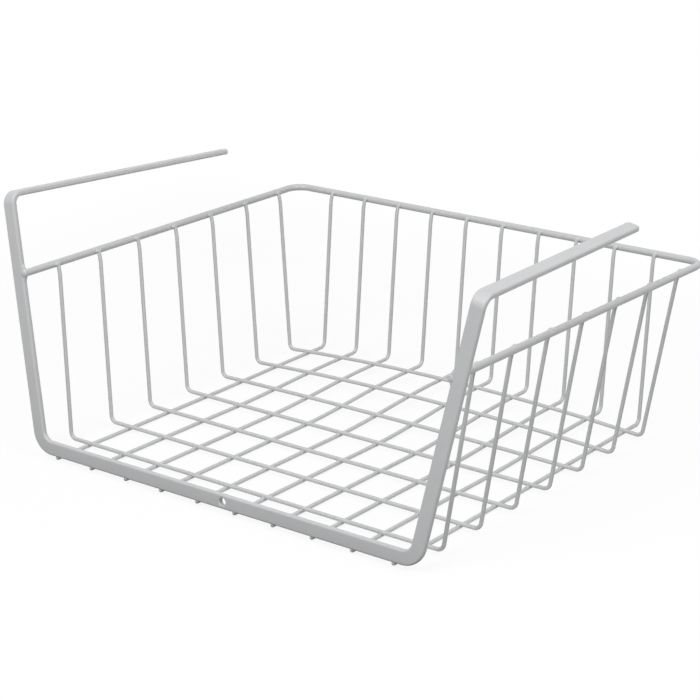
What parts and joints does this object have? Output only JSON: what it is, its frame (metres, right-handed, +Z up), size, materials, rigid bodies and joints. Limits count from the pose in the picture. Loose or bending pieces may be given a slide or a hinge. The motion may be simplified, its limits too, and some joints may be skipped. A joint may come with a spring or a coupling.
{
  "type": "under-shelf basket",
  "caption": "Open wire basket that hangs under a shelf: a flat-bar front frame whose arms lie on the board, a thick rim wire, U-shaped cross wires and L-shaped floor wires, welded together.",
  "frame": {"origin": "middle of the underside of the whole basket", "axes": "+X across the basket to its right as seen from the front, +Y from the open front to the back wall, +Z up"},
  "size_m": [0.3912, 0.3138, 0.1795],
  "materials": {
    "painted_steel": "light grey satin powder coat"
  },
  "bodies": {
    "root": {"front_frame": "painted_steel", "rim_wire": "painted_steel", "cross_wire_1": "painted_steel", "cross_wire_2": "painted_steel", "cross_wire_3": "painted_steel", "cross_wire_4": "painted_steel", "cross_wire_5": "painted_steel", "cross_wire_6": "painted_steel", "cross_wire_7": "painted_steel", "floor_wire_1": "painted_steel", "floor_wire_2": "painted_steel", "floor_wire_3": "painted_steel", "floor_wire_4": "painted_steel", "floor_wire_5": "painted_steel", "floor_wire_6": "painted_steel", "floor_wire_7": "painted_steel", "floor_wire_8": "painted_steel", "floor_wire_9": "painted_steel", "floor_wire_10": "painted_steel"}
  },
  "joints": []
}
